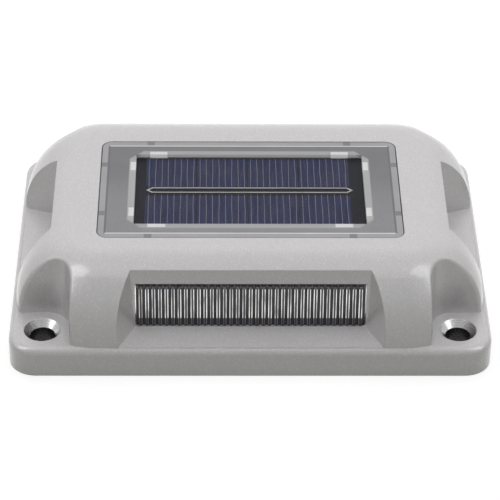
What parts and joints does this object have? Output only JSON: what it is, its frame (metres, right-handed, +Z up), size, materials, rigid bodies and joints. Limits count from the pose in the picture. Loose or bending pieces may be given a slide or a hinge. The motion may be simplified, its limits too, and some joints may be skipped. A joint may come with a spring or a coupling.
{
  "type": "solar dock light",
  "caption": "Low rectangular solar deck and dock light: cast grey housing with a clear window over solar cells, ribbed side lenses and screw holes at its corners.",
  "frame": {"origin": "middle of the underside of the housing, on the surface that the light is screwed to", "axes": "+Z up out of the surface, +X along the length to the right, -Y towards the front seen in the picture"},
  "size_m": [0.15, 0.107, 0.0335],
  "materials": {
    "cast_housing": "die-cast, light grey metallic powder coat, semi-gloss",
    "clear_window": "clear polycarbonate, frosted border",
    "gasket_rubber": "matte black silicone",
    "tray_plastic": "grey, fine texture",
    "tray_tape": "grey adhesive foam",
    "white_pad": "white",
    "black_board": "glass-filled laminate with black resist",
    "cell_blue": "dark blue cell under clear resin",
    "bright_ribbon": "tinned strip",
    "plate_plastic": "black, fine texture",
    "screw_steel": "plain stainless",
    "button_plastic": "dark grey moulded",
    "component_black": "moulded black",
    "component_dark": "dark grey ferrite",
    "capacitor_can": "drawn can",
    "green_board": "glass-filled laminate with green resist",
    "white_board": "laminate with white resist",
    "white_plastic": "white moulded",
    "battery_sleeve": "shrink sleeve on a steel can",
    "contact_steel": "nickel-plated",
    "lens_clear": "clear ribbed polycarbonate",
    "led_phosphor": "yellow phosphor",
    "lead_red": "insulated wire",
    "lead_black": "insulated wire",
    "lead_grey": "insulated two-core wire"
  },
  "bodies": {
    "light": {"base_gasket": "gasket_rubber", "base_plate": "plate_plastic", "battery_cell": "battery_sleeve", "battery_contacts": "contact_steel", "battery_holder": "component_black", "battery_leads": "lead_red", "board_connectors": "white_plastic", "carrier_screws": "screw_steel", "cell_ribbon": "bright_ribbon", "chip_resistors": "component_black", "control_board": "green_board", "control_screws": "screw_steel", "driver_chip": "component_black", "filter_capacitor": "capacitor_can", "front_carrier": "white_plastic", "front_leds": "led_phosphor", "front_lens": "lens_clear", "front_lens_gasket": "gasket_rubber", "front_light_board": "white_board", "front_light_lead": "lead_grey", "housing": "cast_housing", "left_carrier": "white_plastic", "left_leds": "led_phosphor", "left_lens": "lens_clear", "left_lens_gasket": "gasket_rubber", "left_light_board": "white_board", "left_light_lead": "lead_grey", "panel_tape": "tray_tape", "panel_tray": "tray_plastic", "plate_screws": "screw_steel", "power_inductor": "component_dark", "rear_carrier": "white_plastic", "rear_leds": "led_phosphor", "rear_lens": "lens_clear", "rear_lens_gasket": "gasket_rubber", "rear_light_board": "white_board", "rear_light_lead": "lead_grey", "right_carrier": "white_plastic", "right_leds": "led_phosphor", "right_lens": "lens_clear", "right_lens_gasket": "gasket_rubber", "right_light_board": "white_board", "right_light_lead": "lead_grey", "solar_board": "black_board", "solar_cells": "cell_blue", "solar_leads": "lead_black", "switch_body": "component_black", "window_gasket": "gasket_rubber", "window_plate": "clear_window", "window_spacers": "white_pad"},
    "button": {"power_button": "button_plastic", "switch_plunger": "button_plastic"}
  },
  "joints": [
    {"name": "button_press", "type": "slide", "parent": "light", "child": "button", "axis": [0, 0, 1], "range_m": [0, 0.0015], "stiffness_N_per_m": 600, "springref_m": -0.0005}
  ]
}
